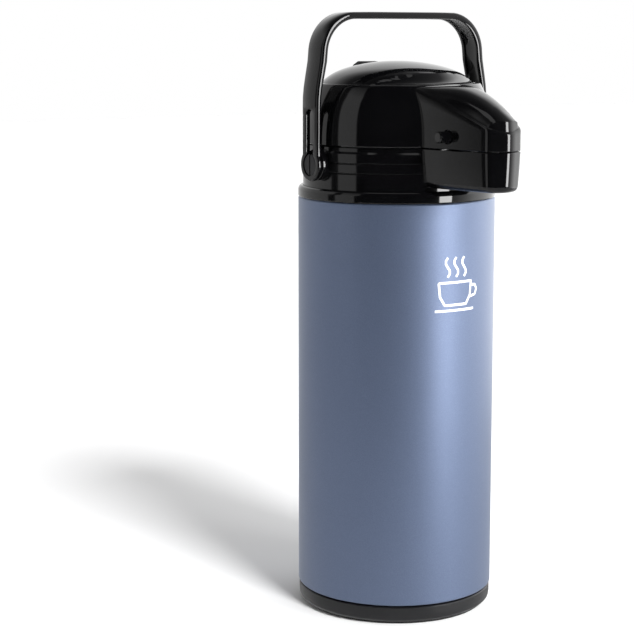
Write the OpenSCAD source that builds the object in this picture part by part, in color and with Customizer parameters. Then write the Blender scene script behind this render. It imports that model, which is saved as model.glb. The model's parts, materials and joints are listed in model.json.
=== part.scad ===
// Thermal coffee airpot: insulated vessel with a hinged pump lid, a bail
// handle and a swivel base. Millimetres. Origin: centre of the underside,
// +Z up, spout towards -Y, handle pivots along X.

/* [Vessel] */
// Outer diameter of the painted shell
body_d = 130; // [110:1:150]
// Top edge of the painted shell above the table
shell_top = 273; // [220:1:320]
// Wall thickness of the painted shell
shell_t = 1; // [0.6:0.1:1.6]
// Outer radius of the steel liner's inside flask
flask_r = 54.8; // [45:0.1:56]
// Radius of the flask's neck, outside
neck_r = 27.8; // [22:0.1:29]
// Wall thickness of both liner skins
liner_t = 0.8; // [0.5:0.1:1.2]

/* [Base] */
// Height of the visible black base ring
base_h = 12; // [8:0.5:16]
// Outer radius of the base ring
base_r = 64.5; // [60:0.5:65]
// Radius of the swivel pivot
swivel_r = 5; // [4:0.1:7]

/* [Shoulder and lid] */
// Radius of the shoulder wall and of the lid's barrel
head_r = 62; // [56:0.5:64]
// Height of the parting line between shoulder and lid
part_z = 309; // [300:0.5:315]
// Half the parting gap
part_gap = 0.3; // [0.2:0.05:0.5]
// Radius of the opening the push dome travels in
mouth_r = 51.1; // [46:0.1:54]
// Height of the push dome's top
dome_z = 362.6; // [355:0.1:366]
// Wall thickness of the moulded head parts
head_t = 2.2; // [1.6:0.1:3]

/* [Lid hinge] */
// Distance of the hinge axis behind the centre
hinge_y = 65.5; // [64:0.1:68]
// Height of the hinge axis
hinge_z = 311.5; // [310:0.1:314]
// Radius of the hinge pin
hinge_pin_r = 1.5; // [1:0.1:2]

/* [Spout] */
// Reach of the spout's tip from the centre
nose_y = 118; // [100:1:130]
// Distance of the nozzle from the centre
nozzle_y = 98; // [85:1:105]
// Height of the outlet duct's axis
duct_z = 313.5; // [312:0.1:315]

/* [Pump] */
// Travel of the push dome
stroke = 18; // [12:1:20]

/* [Release buttons] */
// Distance of the buttons in front of the centre
button_y = 79; // [70:1:90]
// Height of the buttons
button_z = 317; // [314:0.5:320]
// Radius of a button
button_r = 3.5; // [2.5:0.1:5]

/* [Handle] */
// Height of the handle's pivots
pivot_z = 297; // [294:0.5:300]
// Radius of the pivot pins
pivot_r = 6.2; // [5:0.1:7]
// Width of the strap
strap_w = 17.4; // [12:0.1:24]
// Distance of the strap's outer face from the centre
strap_x = 69; // [67:0.1:72]
// Thickness of the strap's legs
strap_t = 3.4; // [2.5:0.1:5]
// Height of the top of the handle
handle_top = 394; // [380:1:410]
// Thickness of the grip bar
grip_t = 4.4; // [3:0.1:7]

/* [Hidden] */
$fn = 96;
body_r = body_d / 2;
collar_r = body_r + 0.2;
neck_top = 284;
deck_z = 294.5;
rim_z = 297;
arc_x = strap_x - 30.5;
arc_z = handle_top - 26.4;
arc_r = 26.3;
skirt_z = 354 - stroke;
plate_z = 306;
seat_z = 318;

// Helpers

// A tube between two heights.
module tube(outer_r, inner_r, z0, z1)
    translate([0, 0, z0])
        difference() {
            cylinder(r = outer_r, h = z1 - z0);
            translate([0, 0, -1])
                cylinder(r = inner_r, h = z1 - z0 + 2);
        }

// A cylinder along X between two places.
module rod_x(r, x0, x1, y = 0, z = 0)
    translate([x0, y, z])
        rotate([0, 90, 0])
            cylinder(r = r, h = x1 - x0);

// A cylinder along Y between two places.
module rod_y(r, y0, y1, x = 0, z = 0)
    translate([x, y0, z])
        rotate([-90, 0, 0])
            cylinder(r = r, h = y1 - y0);

// Half width of the spout at a distance in front of the centre.
function beak_w(y) = 22.5 - (y - 57.8) * 0.175;

// Height of the hood's side crease and of its centre line.
function crease_z(y) = 346.4 - 0.33 * (y - 51.4) - 0.00075 * pow(y - 51.4, 2);
function ridge_z(y) = 349.4 - 0.00088 * pow(max(0, y - 62), 2.57);

// Height of the dome's surface at a radius.
function dome_at(r) = dome_z - 0.004 * r * r - pow(r / 40.5, 8);

// A coil spring round the Z axis, from a ring sector turned as it rises.
module coil(r, wire_r, h, turns) {
    sweep = 720 * wire_r * turns / h;
    linear_extrude(height = h, twist = -360 * turns, slices = turns * 14, $fn = 8)
        polygon(concat(
            [for (i = [0:5])
                [(r - wire_r) * cos(sweep * i / 5), (r - wire_r) * sin(sweep * i / 5)]],
            [for (i = [5:-1:0])
                [(r + wire_r) * cos(sweep * i / 5), (r + wire_r) * sin(sweep * i / 5)]]));
}

// Vessel

module outer_shell()
    color([0.36, 0.44, 0.57]) {
        tube(body_r, body_r - shell_t, base_h + 1, shell_top + 1);
        tube(body_r - shell_t, body_r - 3, base_h + 1, base_h + 2);
    }

module collar_ring()
    color([0.03, 0.03, 0.035])
        rotate_extrude() {
            translate([head_r + 0.1, shell_top + 1])
                square([collar_r - head_r - 0.1, 4.6]);
            translate([head_r + 0.1, shell_top + 5.6])
                intersection() {
                    circle(r = collar_r - head_r - 0.1);
                    square(10);
                }
        }

module shoulder()
    color([0.03, 0.03, 0.035])
        difference() {
            union() {
                difference() {
                    tube(head_r, head_r - 2.5, shell_top + 1, part_z - part_gap);
                    for (z = [292.3, 298.6, 305])
                        tube(head_r + 1, head_r - 0.6, z - 0.4, z + 0.4);
                }
                tube(head_r - 2.5, 33, deck_z - 2.5, deck_z);
                for (s = [-1, 1]) {
                    rod_x(10.2, s > 0 ? 58.7 : -collar_r, s > 0 ? collar_r : -58.7,
                          0, pivot_z);
                    translate([s > 0 ? 12.4 : -22, hinge_y - 4.3, 303])
                        cube([9.6, 7.9, hinge_z - 303]);
                    translate([s > 0 ? 12.4 : -22, 57.6, 303])
                        cube([9.6, 5, part_z - part_gap - 303]);
                    rod_x(3.6, s > 0 ? 12.4 : -22, s > 0 ? 22 : -12.4,
                          hinge_y, hinge_z);
                }
            }
            for (s = [-1, 1]) {
                rod_x(pivot_r + 0.05, s > 0 ? 50 : -80, s > 0 ? 80 : -50, 0, pivot_z);
                rod_x(pivot_r + 2.3, s > 0 ? 53 : -56, s > 0 ? 56 : -53, 0, pivot_z);
            }
            rod_x(hinge_pin_r + 0.02, -30, 30, hinge_y, hinge_z);
        }

// The spout's plan, a rounded block between two heights.
module beak_block(inset, z0, z1, y0, soft)
    hull()
        for (s = [-1, 1], z = [z0 + inset + soft, z1])
            for (p = [[beak_w(y0), y0], [beak_w(112), 112], [5, nose_y - 1]])
                translate([s * (p[0] - inset - 2), inset * 0.9 + 2 - p[1], z])
                    if (z == z1) cylinder(r = 2, h = 0.01, $fn = 24);
                    else scale([1, 1, soft / 2]) sphere(r = 2, $fn = 24);

module beak_tray()
    color([0.03, 0.03, 0.035])
        difference() {
            beak_block(0, 284, part_z - part_gap, 52, 4);
            beak_block(head_t, 284, part_z + 2, 40, 2);
            translate([0, 0, 270])
                cylinder(r = head_r + 0.1, h = 60);
            translate([0, -nozzle_y - 0.5, 270])
                cylinder(r = 8, h = 30);
        }

// One skin of the liner as a solid: radius, floor, shoulder and top heights.
module flask(r, neck, z0, z1, z2, top)
    rotate_extrude()
        polygon([[0, z0], [r - 7, z0], [r - 2, z0 + 2], [r, z0 + 7], [r, z1],
                 [r - 2.5, z1 + 6], [neck, z2], [neck, top], [0, top]]);

module liner_outer()
    color([0.72, 0.73, 0.75]) {
        difference() {
            flask(60, 30, 20, 238, 272, neck_top);
            flask(60 - liner_t, 30 - liner_t, 20 + liner_t, 237.6, 271.6, neck_top + 1);
        }
        tube(30 - liner_t, neck_r, neck_top - 1, neck_top);
    }

module liner_inner()
    color([0.78, 0.79, 0.8])
        difference() {
            flask(flask_r, neck_r, 26, 234, 266, neck_top);
            flask(flask_r - liner_t, neck_r - liner_t, 26 + liner_t, 233.6, 265.6,
                  neck_top + 1);
        }

module liner_cushion()
    color([0.1, 0.1, 0.1])
        tube(48, 22, base_h + 4, 20);

module neck_ring()
    color([0.05, 0.05, 0.055]) {
        tube(40, 28.5, deck_z, rim_z);
        tube(32.8, 28.5, neck_top + 2, deck_z);
        tube(32.8, 30.2, 277, neck_top + 2);
    }

module neck_gasket()
    color([0.75, 0.75, 0.72])
        tube(30.1, 28, neck_top, neck_top + 2);

module bottom_cover()
    color([0.04, 0.04, 0.045])
        difference() {
            union() {
                translate([0, 0, base_h + 0.6])
                    cylinder(r = 61.8, h = 1.5);
                translate([0, 0, base_h + 2])
                    cylinder(r = body_r - shell_t - 0.1, h = 2);
                translate([0, 0, 5.6])
                    cylinder(r = swivel_r, h = base_h - 5);
            }
            translate([0, 0, 0])
                cylinder(r = 1.5, h = 13);
        }

module swivel_screw()
    color([0.6, 0.6, 0.62])
        union() {
            translate([0, 0, 4])
                cylinder(r = 8, h = 1.6);
            translate([0, 0, 2.6])
                cylinder(r = 3, h = 1.4);
            translate([0, 0, 5.6])
                cylinder(r = 1.5, h = 7);
        }

module riser_tube()
    color([0.75, 0.76, 0.78])
        tube(4.5, 3.8, 31, 286);

module tube_head()
    color([0.85, 0.85, 0.82])
        difference() {
            union() {
                tube(27.6, 24, neck_top + 0.1, neck_top + 1.6);
                tube(7, 4.5, neck_top - 3, neck_top + 1.9);
                for (a = [0, 120, 240])
                    rotate(a)
                        translate([6, -2, neck_top + 0.1])
                            cube([19, 4, 1.5]);
            }
            translate([0, 0, 270])
                cylinder(r = 4.5, h = 30);
        }

// A snap pin for the handle, slit across its end.
module pivot_pin(s)
    color([0.05, 0.05, 0.055])
        mirror([s > 0 ? 0 : 1, 0, 0])
            difference() {
                union() {
                    rod_x(pivot_r, 56, strap_x - 1, 0, pivot_z);
                    rod_x(pivot_r + 0.7, strap_x - 1, strap_x - 0.3, 0, pivot_z);
                    rod_x(pivot_r + 2, 54.5, 56, 0, pivot_z);
                }
                translate([strap_x - 4, -0.7, pivot_z - 10])
                    cube([10, 1.4, 20]);
            }

module hinge_pin()
    color([0.7, 0.7, 0.72])
        rod_x(hinge_pin_r, -22.5, 22.5, hinge_y, hinge_z);

// Lid

// The hood over the spout, solid, with every face moved in by inset.
module hood_block(inset)
    hull()
        for (s = [-1, 1], y = [46, 58, 70, 82, 94, 104, 111])
            for (p = [[beak_w(y), crease_z(y)],
                      [beak_w(y) * 0.45, ridge_z(y)],
                      [y < 111 ? beak_w(y) : 5, part_z + part_gap + inset + 1.5]])
                translate([s * (p[0] - inset - 1.5),
                           inset + 1.5 - y - (p[0] == 5 ? nose_y - 111 : 0),
                           p[1] - inset - 1.5])
                    sphere(r = 1.5, $fn = 16);

// Outline of the lid's barrel, from the parting line to the dome's opening.
barrel_edge = [[62, 309.3], [61.9, 316], [61.6, 322], [61, 328], [60, 333],
               [58.6, 338], [57, 342.5], [55.2, 346.4], [54.6, 347.8]];

module lid_shell()
    color([0.03, 0.03, 0.035])
        difference() {
            union() {
                rotate_extrude()
                    polygon(concat(barrel_edge,
                        [[52.3, 348.2], [mouth_r, 347.6], [mouth_r, 338],
                         [55.2, 336], [58.2, 328], [59.6, 320], [59.8, 309.3]]));
                rod_x(3.6, -11.9, 11.9, hinge_y, hinge_z);
                translate([-11.9, 60.6, part_z + 0.4])
                    cube([23.8, hinge_y - 60.6, 5]);
            }
            translate([-6, -70, 305])
                cube([12, 15, 13.7]);
            rod_x(hinge_pin_r + 0.05, -30, 30, hinge_y, hinge_z);
        }

module spout_hood()
    color([0.03, 0.03, 0.035])
        difference() {
            hood_block(0);
            hood_block(head_t);
            translate([0, 0, 300])
                cylinder(r = 200, h = part_z + part_gap - 300);
            rotate_extrude()
                polygon(concat([[0, 300], [62.1, 300]],
                    [for (p = barrel_edge) p + [0.1, 0.05]], [[54.7, 370], [0, 370]]));
            rod_x(button_r + 0.9, -40, 40, -button_y, button_z);
        }

module lid_base()
    color([0.05, 0.05, 0.055])
        difference() {
            union() {
                translate([0, 0, plate_z])
                    cylinder(r = 58.3, h = 2.2);
                tube(58.3, 56, plate_z, 312);
                tube(59.7, 57, part_z + 0.5, 312);
            }
            for (a = [45:90:315])
                rotate(a)
                    translate([36, 0, 300])
                        cylinder(r = 1.6, h = 12);
            translate([0, 0, 300])
                cylinder(r = 6.2, h = 12);
            translate([14, 0, 300])
                cylinder(r = 2.5, h = 12);
            translate([-5, -62, part_z + 0.1])
                cube([10, 10, 9]);
        }

module stopper()
    color([0.08, 0.08, 0.085])
        difference() {
            rotate_extrude()
                polygon([[3, 288], [24, 288], [27, rim_z - 0.5], [27, 299.2],
                         [31, 299.2], [31, plate_z], [29, plate_z], [29, 301.2],
                         [25, 301.2], [25, rim_z], [22.4, 290], [6, 290],
                         [6, 309.3], [3, 309.3]]);
            translate([14, 0, 280])
                cylinder(r = 2.5, h = 20);
        }

module stopper_gasket()
    color([0.8, 0.8, 0.78])
        tube(33, 27.1, rim_z + 0.3, 299.2);

module pump_plate()
    color([0.08, 0.08, 0.085])
        difference() {
            union() {
                translate([0, 0, seat_z])
                    cylinder(r = 44, h = 2);
                for (a = [45:90:315])
                    rotate(a)
                        translate([36, 0, plate_z + 2.2])
                            cylinder(r = 3.5, h = seat_z - plate_z - 2);
                translate([14, 0, plate_z + 2.2])
                    cylinder(r = 4, h = seat_z - plate_z - 2);
            }
            translate([14, 0, 300])
                cylinder(r = 2.5, h = 30);
            for (a = [45:90:315])
                rotate(a)
                    translate([36, 0, 300])
                        cylinder(r = 1.55, h = 14.5);
        }

// A pleated wall between two heights.
module bellows()
    color([0.13, 0.13, 0.14])
        rotate_extrude()
            polygon(concat(
                [for (i = [0:10]) [i % 2 ? 29 : 23, 320.1 + i * 3.19]],
                [for (i = [10:-1:0]) [i % 2 ? 28 : 22, 320.1 + i * 3.19]]));

module pump_spring()
    color([0.7, 0.7, 0.72])
        translate([0, 0, 320.2])
            coil(12, 0.8, 31.7, 6);

module air_valve()
    color([0.8, 0.8, 0.78])
        translate([14, 0, 0])
            union() {
                translate([0, 0, 286.4])
                    cylinder(r = 4.5, h = 1.4);
                translate([0, 0, 287.8])
                    cylinder(r = 1, h = 4);
            }

module outlet_duct()
    color([0.85, 0.86, 0.84])
        difference() {
            union() {
                rod_y(4, -nozzle_y - 4, 5, 0, duct_z);
                translate([0, 0, part_z + 0.4])
                    cylinder(r = 4, h = duct_z - part_z - 0.4);
                translate([0, -nozzle_y, 302])
                    cylinder(r = 3.1, h = duct_z - 302);
            }
            rod_y(2.8, -nozzle_y - 2, 3, 0, duct_z);
            translate([0, 0, 300])
                cylinder(r = 2.6, h = duct_z - 300);
            translate([0, -nozzle_y, 300])
                cylinder(r = 2.2, h = duct_z - 300);
        }

module nozzle()
    color([0.06, 0.06, 0.065])
        translate([0, -nozzle_y, 0])
            tube(5, 3.2, 285, 309);

module tube_seal()
    color([0.8, 0.8, 0.78])
        tube(8, 4, 286.4, 288);

module lid_screws()
    color([0.7, 0.7, 0.72])
        for (a = [45:90:315])
            rotate(a)
                translate([36, 0, 0]) {
                    translate([0, 0, plate_z - 1.5])
                        cylinder(r = 3, h = 1.5);
                    translate([0, 0, plate_z - 0.1])
                        cylinder(r = 1.5, h = 8);
                }

module button_guide()
    color([0.08, 0.08, 0.085])
        difference() {
            translate([-8, -button_y - 4, part_z + 1])
                cube([16, 8, 14]);
            translate([-5.5, -button_y - 5, part_z])
                cube([11, 10, 13]);
            rod_x(2.56, -20, 20, -button_y, button_z);
        }

// Push dome and lock

module push_dome()
    color([0.03, 0.03, 0.035])
        difference() {
            rotate_extrude()
                polygon(concat(
                    [for (r = [0:3:48]) [r, dome_at(r)]],
                    [[50.3, 348], [50.6, 346.6], [50.6, skirt_z],
                     [47.6, skirt_z], [47.6, 345]],
                    [for (r = [46:-3:1]) [r, dome_at(r) - 2.2]],
                    [[0, dome_z - 2.2]]));
            translate([-8, 26, 351])
                cube([16, 17, 20]);
        }

module pusher_plate()
    color([0.08, 0.08, 0.085])
        difference() {
            union() {
                translate([0, 0, 352.1])
                    cylinder(r = 31, h = 1.8);
                tube(8, 5, 353.9, 360);
            }
            translate([-9, 22, 352.9])
                cube([18, 20, 20]);
        }

module lock_slide()
    color([0.05, 0.05, 0.055])
        difference() {
            union() {
                translate([-7, 29.5, 353.2])
                    cube([14, 12, 7]);
                translate([-7, 29.5, 353.2])
                    cube([14, 5, 8]);
            }
            translate([-8, 34.5, 361.2])
                rotate([-32, 0, 0])
                    cube([16, 14, 8]);
        }

// Release buttons

module release_button(s)
    color([0.03, 0.03, 0.035])
        mirror([s > 0 ? 0 : 1, 0, 0]) {
            rod_x(button_r, 13, 26.4, -button_y, button_z);
            rod_x(button_r - 0.4, 26.4, 26.8, -button_y, button_z);
            rod_x(2.5, 7.2, 13, -button_y, button_z);
        }

module button_spring(s)
    color([0.7, 0.7, 0.72])
        mirror([s > 0 ? 0 : 1, 0, 0])
            translate([8.2, -button_y, button_z])
                rotate([0, 90, 0])
                    coil(3.1, 0.3, 4.6, 4);

// Handle

// The strap's side view in X and Z, from a given depth inside its outer face.
function strap_edge(d, g) = concat(
    [[strap_x - d, pivot_z], [strap_x - d, 340],
     [strap_x - 1.9 - d - (g - d) * 0.9, 352]],
    [for (a = [4:9:85]) [arc_x + (arc_r - g) * cos(a), arc_z + (arc_r - g) * sin(a)]],
    [[0, handle_top - g]]);

module carry_handle()
    color([0.03, 0.03, 0.035])
        difference() {
            union() {
                rotate([90, 0, 0])
                    linear_extrude(height = strap_w, center = true)
                        for (s = [0, 1])
                            mirror([s, 0, 0])
                                strap_2d(0, 0, strap_t, grip_t);
                for (s = [-1, 1])
                    rod_x(10.5, s > 0 ? strap_x - strap_t : -strap_x,
                          s > 0 ? strap_x : strap_t - strap_x, 0, pivot_z);
            }
            rotate([90, 0, 0])
                linear_extrude(height = 11, center = true)
                    for (s = [0, 1])
                        mirror([s, 0, 0])
                            intersection() {
                                strap_2d(strap_t - 0.8, grip_t - 1.4,
                                         strap_t + 1, grip_t + 1);
                                translate([0, 342])
                                    square([100, 100]);
                            }
            for (s = [-1, 1]) {
                rod_x(pivot_r + 0.06, s > 0 ? 60 : -80, s > 0 ? 80 : -60, 0, pivot_z);
                rod_x(pivot_r + 1.1, s > 0 ? strap_x - 1.3 : -80,
                      s > 0 ? 80 : 1.3 - strap_x, 0, pivot_z);
                translate([s > 0 ? 60 : -80, -4.25, pivot_z + 7.8])
                    cube([20, 8.5, 23.5]);
                rod_x(4.25, s > 0 ? 60 : -80, s > 0 ? 80 : -60, 0, pivot_z + 31.3);
            }
        }

// The strap between two depths inside its outer face.
module strap_2d(d0, g0, d1, g1)
    polygon(concat(strap_edge(d0, g0),
        [for (i = [len(strap_edge(d1, g1)) - 1:-1:0]) strap_edge(d1, g1)[i]]));

// Swivel base

module swivel_base()
    color([0.04, 0.04, 0.045])
        difference() {
            rotate_extrude()
                polygon([[swivel_r + 0.08, 6.2], [54, 6.2], [54, 1.6], [60, 1.6],
                         [61.8, 1.6], [63.6, 2.4], [base_r, 4.4], [base_r, base_h],
                         [55, base_h], [55, 8.2], [9, 8.2], [9, base_h - 0.2],
                         [swivel_r + 0.08, base_h - 0.2]]);
            translate([0, 0, -1])
                tube(52, 9.5, 1, 6.1);
        }

module slip_ring()
    color([0.85, 0.85, 0.83])
        tube(54.5, 50, 8.2, base_h + 0.3);

module foot_pad()
    color([0.09, 0.09, 0.09])
        tube(61, 54.5, 0, 1.6);

outer_shell();
collar_ring();
shoulder();
beak_tray();
liner_outer();
liner_inner();
liner_cushion();
neck_ring();
neck_gasket();
bottom_cover();
swivel_screw();
riser_tube();
tube_head();
pivot_pin(-1);  // pivot_pin_left
pivot_pin(1);  // pivot_pin_right
hinge_pin();
lid_shell();
spout_hood();
lid_base();
stopper();
stopper_gasket();
pump_plate();
bellows();
pump_spring();
air_valve();
outlet_duct();
nozzle();
tube_seal();
lid_screws();
button_guide();
push_dome();
pusher_plate();
lock_slide();
release_button(-1);  // release_button_left
release_button(1);  // release_button_right
button_spring(-1);  // button_spring_left
button_spring(1);  // button_spring_right
carry_handle();
swivel_base();
slip_ring();
foot_pad();
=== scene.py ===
import json
import math

import bmesh
import bpy
from mathutils import Euler, Matrix, Vector

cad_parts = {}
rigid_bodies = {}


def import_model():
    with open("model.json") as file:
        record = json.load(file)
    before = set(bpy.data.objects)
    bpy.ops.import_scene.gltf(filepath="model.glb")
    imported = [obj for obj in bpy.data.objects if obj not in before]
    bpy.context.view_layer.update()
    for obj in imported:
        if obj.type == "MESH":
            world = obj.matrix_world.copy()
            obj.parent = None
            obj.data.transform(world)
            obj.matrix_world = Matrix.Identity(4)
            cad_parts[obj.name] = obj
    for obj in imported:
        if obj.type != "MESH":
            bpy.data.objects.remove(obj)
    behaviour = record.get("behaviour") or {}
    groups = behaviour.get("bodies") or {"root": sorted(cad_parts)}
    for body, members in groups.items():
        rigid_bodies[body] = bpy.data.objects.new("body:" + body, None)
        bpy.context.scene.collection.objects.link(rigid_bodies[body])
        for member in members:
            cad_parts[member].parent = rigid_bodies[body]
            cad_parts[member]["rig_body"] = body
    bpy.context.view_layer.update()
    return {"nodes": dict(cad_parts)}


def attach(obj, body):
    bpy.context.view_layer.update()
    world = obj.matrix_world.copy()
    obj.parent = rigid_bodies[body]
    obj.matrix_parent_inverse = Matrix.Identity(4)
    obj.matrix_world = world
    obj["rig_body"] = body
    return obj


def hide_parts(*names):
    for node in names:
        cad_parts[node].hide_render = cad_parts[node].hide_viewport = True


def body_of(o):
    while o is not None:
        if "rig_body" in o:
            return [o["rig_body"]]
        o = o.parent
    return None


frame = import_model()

NODES = frame["nodes"]

# Sizes in millimetres. Most are the CAD's; a few differ by up to a millimetre.
BODY_R = 65.0
SHELL_TOP = 274.0
BASE_TOP = 12.0
COLLAR_R = 65.2
HEAD_R = 62.0
PART_Z = 309.0
PART_GAP = 0.3
DOME_Z = 362.6
DOME_R = 50.6
MOUTH_R = 51.1
NOSE_Y = 118.0
NOZZLE_Y = 98.0
PIVOT_Z = 297.0
STRAP_X = 69.0
STRAP_T = 3.4
GRIP_T = 4.4
STRAP_W = 17.4
HANDLE_TOP = 394.0
HINGE_Y = 65.5
HINGE_Z = 311.5
BUTTON_Y = 79.0
BUTTON_Z = 317.0
BUTTON_HOLE_R = 4.6
PIN_R = 6.2
PAD_R = 10.2
PAD_FOOT = 58.7
EAR_R = 3.6
EAR_BORE_R = 1.54
KNUCKLE_BORE_R = 1.56
KNUCKLE_HALF = 11.9
TRAY_BOTTOM = 284.0
TRAY_START = 45.0
HOOD_START = 40.0
TAB_HALF = 7.3
WELL_HALF = 7.9
SLOT_HALF = 4.25
SLOT_TOP = PIVOT_Z + 31.3
EMBLEM_Z = 221.5

# Steps round large turned pieces, round small ones, and along and round a wire.
FINE = 256
SMALL = 64
STEPS_PER_TURN = 28
WIRE_SIDES = 10


# ---------------------------------------------------------------- materials

def linear(rgb):
    """sRGB 0-255 to linear 0-1."""
    return [((c / 255 + 0.055) / 1.055) ** 2.4 if c > 10 else c / 255 / 12.92
            for c in rgb]


class Nodes:
    """A short way to write a node tree."""

    def __init__(self, name):
        self.mat = bpy.data.materials.new(name)
        self.mat.use_nodes = True
        self.tree = self.mat.node_tree
        self.bsdf = self.tree.nodes["Principled BSDF"]
        self.coord = self.tree.nodes.new("ShaderNodeTexCoord")

    def add(self, kind, **values):
        """A node with settings or inputs by name, _ for a space."""
        n = self.tree.nodes.new(kind)
        for k, v in values.items():
            if hasattr(n, k):
                setattr(n, k, v)
            else:
                n.inputs[k.replace("_", " ")].default_value = v
        return n

    def link(self, a, b):
        self.tree.links.new(a, b)

    def place(self, scale=(1, 1, 1)):
        """Object coordinates, stretched by scale."""
        m = self.add("ShaderNodeMapping")
        m.inputs["Scale"].default_value = scale
        self.link(self.coord.outputs["Object"], m.inputs["Vector"])
        return m.outputs["Vector"]

    def noise(self, scale, detail=3.0, stretch=(1, 1, 1)):
        """Cloudy noise; scale in features per metre."""
        n = self.add("ShaderNodeTexNoise", Scale=scale, Detail=detail)
        self.link(self.place(stretch), n.inputs["Vector"])
        return n.outputs["Fac"]

    def ramp(self, fac, low, high, a=0.35, b=0.65):
        """fac mapped from a..b to low..high."""
        r = self.add("ShaderNodeMapRange")
        r.inputs["From Min"].default_value = a
        r.inputs["From Max"].default_value = b
        r.inputs["To Min"].default_value = low
        r.inputs["To Max"].default_value = high
        self.link(fac, r.inputs["Value"])
        return r.outputs["Result"]

    def blend(self, fac, dark, light):
        """A colour between two, by fac."""
        m = self.add("ShaderNodeMix", data_type="RGBA")
        m.inputs["A"].default_value = (*dark, 1)
        m.inputs["B"].default_value = (*light, 1)
        self.link(fac, m.inputs["Factor"])
        return m.outputs["Result"]

    def bump(self, height, strength, distance):
        """A normal from a height; distance in metres."""
        b = self.add("ShaderNodeBump", Strength=strength, Distance=distance)
        self.link(height, b.inputs["Height"])
        return b.outputs["Normal"]

    def set(self, **values):
        """Values or sockets for the shader, and the finished material."""
        for k, v in values.items():
            k = k.replace("_", " ")
            if isinstance(v, bpy.types.NodeSocket):
                self.link(v, self.bsdf.inputs[k])
            else:
                self.bsdf.inputs[k].default_value = v
        return self.mat


def lacquer():
    """Satin slate-blue paint with a fine metallic flake and orange peel."""
    n = Nodes("slate_lacquer")
    flake = n.add("ShaderNodeTexVoronoi", Scale=2600.0)
    n.link(n.place(), flake.inputs["Vector"])
    sparkle = n.ramp(flake.outputs["Distance"], 0.0, 1.0, 0.1, 0.75)
    tone = n.blend(sparkle, linear((101, 116, 146)), linear((117, 132, 162)))
    peel = n.bump(n.noise(420, 2), 0.06, 0.0002)
    smear = n.ramp(n.noise(14, 4, (1, 1, 0.5)), 0.5, 0.55)
    return n.set(Base_Color=tone, Metallic=0.85, Roughness=smear, Normal=peel,
                 Coat_Weight=0.8, Coat_Roughness=0.45)


def gloss(name, rgb, rough=0.045):
    """Injection-moulded gloss plastic with faint flow waves and handling haze."""
    n = Nodes(name)
    haze = n.ramp(n.noise(22, 5), rough * 0.75, rough * 1.7)
    tone = n.blend(n.ramp(n.noise(60, 3), 0, 1), linear(rgb),
                   linear([c * 1.12 + 1 for c in rgb]))
    wave = n.bump(n.noise(55, 2), 0.012, 0.0004)
    return n.set(Base_Color=tone, Roughness=haze, Normal=wave,
                 Specular_IOR_Level=0.5)


def matte(name, rgb, rough=0.5, grain=900.0, depth=0.25):
    """Textured moulding: spark-eroded grain, slight tone and sheen changes."""
    n = Nodes(name)
    fine = n.noise(grain, 4)
    tone = n.blend(n.ramp(n.noise(35, 4), 0, 1), linear(rgb),
                   linear([min(255, c * 1.16 + 2) for c in rgb]))
    return n.set(Base_Color=tone, Normal=n.bump(fine, depth, 0.0002),
                 Roughness=n.ramp(n.noise(50, 4), rough - 0.06, rough + 0.08))


def steel(name, rgb, stretch, rough):
    """Drawn steel; stretch draws its noise out into lines."""
    n = Nodes(name)
    lines = n.noise(90, 6, stretch)
    tone = n.blend(n.ramp(lines, 0, 1), linear([c * 0.88 for c in rgb]), linear(rgb))
    return n.set(Base_Color=tone, Metallic=1.0,
                 Roughness=n.ramp(lines, rough, rough + 0.16),
                 Normal=n.bump(lines, 0.12, 0.0001))


def silicone(name, rgb):
    """Milky silicone rubber with a faint skin."""
    n = Nodes(name)
    tone = n.blend(n.ramp(n.noise(45, 3), 0, 1), linear(rgb),
                   linear([min(255, c * 1.06) for c in rgb]))
    return n.set(Base_Color=tone, Roughness=n.ramp(n.noise(120, 4), 0.45, 0.62),
                 Subsurface_Weight=0.15, Subsurface_Radius=(0.002, 0.002, 0.002),
                 Normal=n.bump(n.noise(600, 3), 0.15, 0.0001))


BLUE = lacquer()
BLACK = gloss("gloss_black", (5, 5, 6))
BLACK_HOOD = gloss("gloss_black_hood", (6, 6, 7), 0.06)
BASE_BLACK = matte("satin_black_base", (17, 17, 19), 0.34, 700.0, 0.12)
INNER = matte("black_moulding", (22, 22, 24), 0.5)
DARK = matte("recess_black", (11, 11, 12), 0.45)
NATURAL = matte("natural_moulding", (214, 214, 204), 0.42, 700.0, 0.12)
RUBBER = matte("black_rubber", (20, 20, 20), 0.72, 1200.0, 0.5)
LINER = steel("drawn_steel_liner", (205, 207, 212), (1, 1, 0.02), 0.16)
WIRE = steel("spring_wire", (190, 192, 197), (1, 1, 1), 0.2)
SEAL = silicone("clear_silicone", (206, 206, 200))
PRINT = matte("white_print", (222, 225, 230), 0.4, 1500.0, 0.1)


# ---------------------------------------------------------------- mesh tools

def finished(name, bm, mat, body, sharp=32.0):
    """A Blender object from a bmesh in millimetres, riding on a body if one is given."""
    bmesh.ops.scale(bm, vec=(0.001,) * 3, verts=bm.verts)
    bmesh.ops.remove_doubles(bm, verts=bm.verts, dist=1e-7)
    bmesh.ops.recalc_face_normals(bm, faces=bm.faces)
    mesh = bpy.data.meshes.new(name)
    bm.to_mesh(mesh)
    bm.free()
    obj = bpy.data.objects.new(name, mesh)
    bpy.context.collection.objects.link(obj)
    mesh.materials.append(mat)
    shade(obj, sharp)
    if body:
        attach(obj, body)
    return obj


def shade(obj, sharp=32.0):
    """Smooth shading, with creases past an angle in degrees."""
    obj.data.polygons.foreach_set("use_smooth", [True] * len(obj.data.polygons))
    obj.data.set_sharp_from_angle(angle=math.radians(sharp))


def applied(obj):
    """Turns an object's modifiers into its mesh."""
    bpy.context.view_layer.update()
    dg = bpy.context.evaluated_depsgraph_get()
    mesh = bpy.data.meshes.new_from_object(obj.evaluated_get(dg))
    obj.modifiers.clear()
    obj.data = mesh
    return obj


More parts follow.
